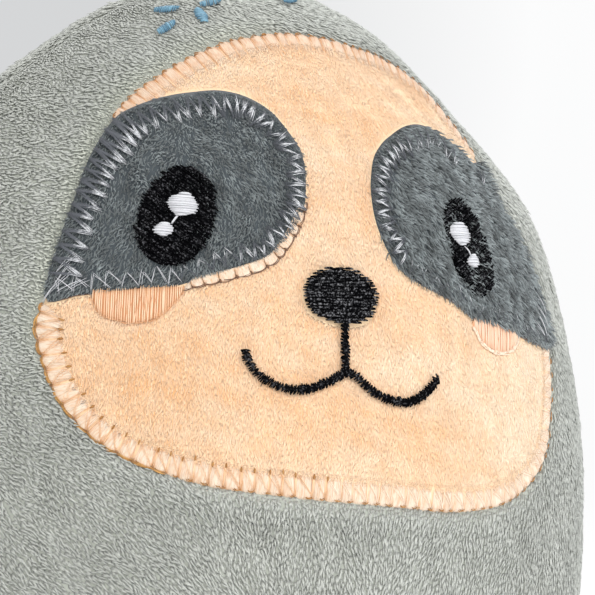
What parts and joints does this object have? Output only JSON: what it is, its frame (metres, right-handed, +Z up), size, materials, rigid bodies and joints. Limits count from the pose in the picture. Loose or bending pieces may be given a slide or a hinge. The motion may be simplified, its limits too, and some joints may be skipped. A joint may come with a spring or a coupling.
{
  "type": "plush sloth",
  "caption": "Egg-shaped stuffed sloth with an appliqued, embroidered face on a peach patch, hanging arms, forward feet and stuffed claws.",
  "frame": {"origin": "middle of the flat base panel, on the floor", "axes": "+Z up through the crown; the face looks along -Y; +X is the toy's own left"},
  "size_m": [0.2522, 0.2173, 0.264],
  "materials": {
    "grey_pile": "short grey minky pile, matt",
    "peach_pile": "very short peach pile, matt",
    "dark_pile": "short dark blue-grey pile, matt",
    "peach_thread": "peach satin stitch with a soft sheen",
    "silver_thread": "silver-grey zigzag stitch with a soft sheen",
    "black_thread": "black satin stitch with a soft sheen",
    "white_thread": "white satin stitch with a soft sheen",
    "blush_thread": "pink-orange satin stitch with a soft sheen",
    "cream_pile": "short cream pile, matt",
    "white_fibre": "loose white polyester fibre"
  },
  "bodies": {
    "body": {"body_stuffing": "white_fibre", "front_skin": "grey_pile", "back_skin_left": "grey_pile", "back_skin_right": "grey_pile", "base_panel": "grey_pile", "face_patch": "peach_pile", "face_border_top": "peach_thread", "face_border_bottom": "peach_thread", "nose": "black_thread", "mouth": "black_thread", "left_eye_patch": "dark_pile", "left_eye_border": "silver_thread", "left_eye": "black_thread", "left_eye_large_glint": "white_thread", "left_eye_small_glint": "white_thread", "left_cheek": "blush_thread", "right_eye_patch": "dark_pile", "right_eye_border": "silver_thread", "right_eye": "black_thread", "right_eye_large_glint": "white_thread", "right_eye_small_glint": "white_thread", "right_cheek": "blush_thread"},
    "left_arm": {"left_arm_stuffing": "white_fibre", "left_arm_skin": "grey_pile", "left_arm_claw_1": "cream_pile", "left_arm_claw_2": "cream_pile", "left_arm_claw_3": "cream_pile"},
    "left_foot": {"left_foot_stuffing": "white_fibre", "left_foot_skin": "grey_pile", "left_foot_claw_1": "cream_pile", "left_foot_claw_2": "cream_pile", "left_foot_claw_3": "cream_pile"},
    "right_arm": {"right_arm_stuffing": "white_fibre", "right_arm_skin": "grey_pile", "right_arm_claw_1": "cream_pile", "right_arm_claw_2": "cream_pile", "right_arm_claw_3": "cream_pile"},
    "right_foot": {"right_foot_stuffing": "white_fibre", "right_foot_skin": "grey_pile", "right_foot_claw_1": "cream_pile", "right_foot_claw_2": "cream_pile", "right_foot_claw_3": "cream_pile"}
  },
  "joints": [
    {"name": "left_shoulder", "type": "hinge", "parent": "body", "child": "left_arm", "pos_m": [0.10647, -0.01877, 0.095], "axis": [-0.1736, -0.9848, 0], "range_deg": [0, 100]},
    {"name": "right_shoulder", "type": "hinge", "parent": "body", "child": "right_arm", "pos_m": [-0.10647, -0.01877, 0.095], "axis": [-0.1736, 0.9848, 0], "range_deg": [0, 100]},
    {"name": "left_ankle", "type": "hinge", "parent": "body", "child": "left_foot", "pos_m": [0.04156, -0.08156, 0.017], "axis": [-0.9703, -0.2419, 0], "range_deg": [0, 35]},
    {"name": "right_ankle", "type": "hinge", "parent": "body", "child": "right_foot", "pos_m": [-0.04156, -0.08156, 0.017], "axis": [-0.9703, 0.2419, 0], "range_deg": [0, 35]}
  ]
}
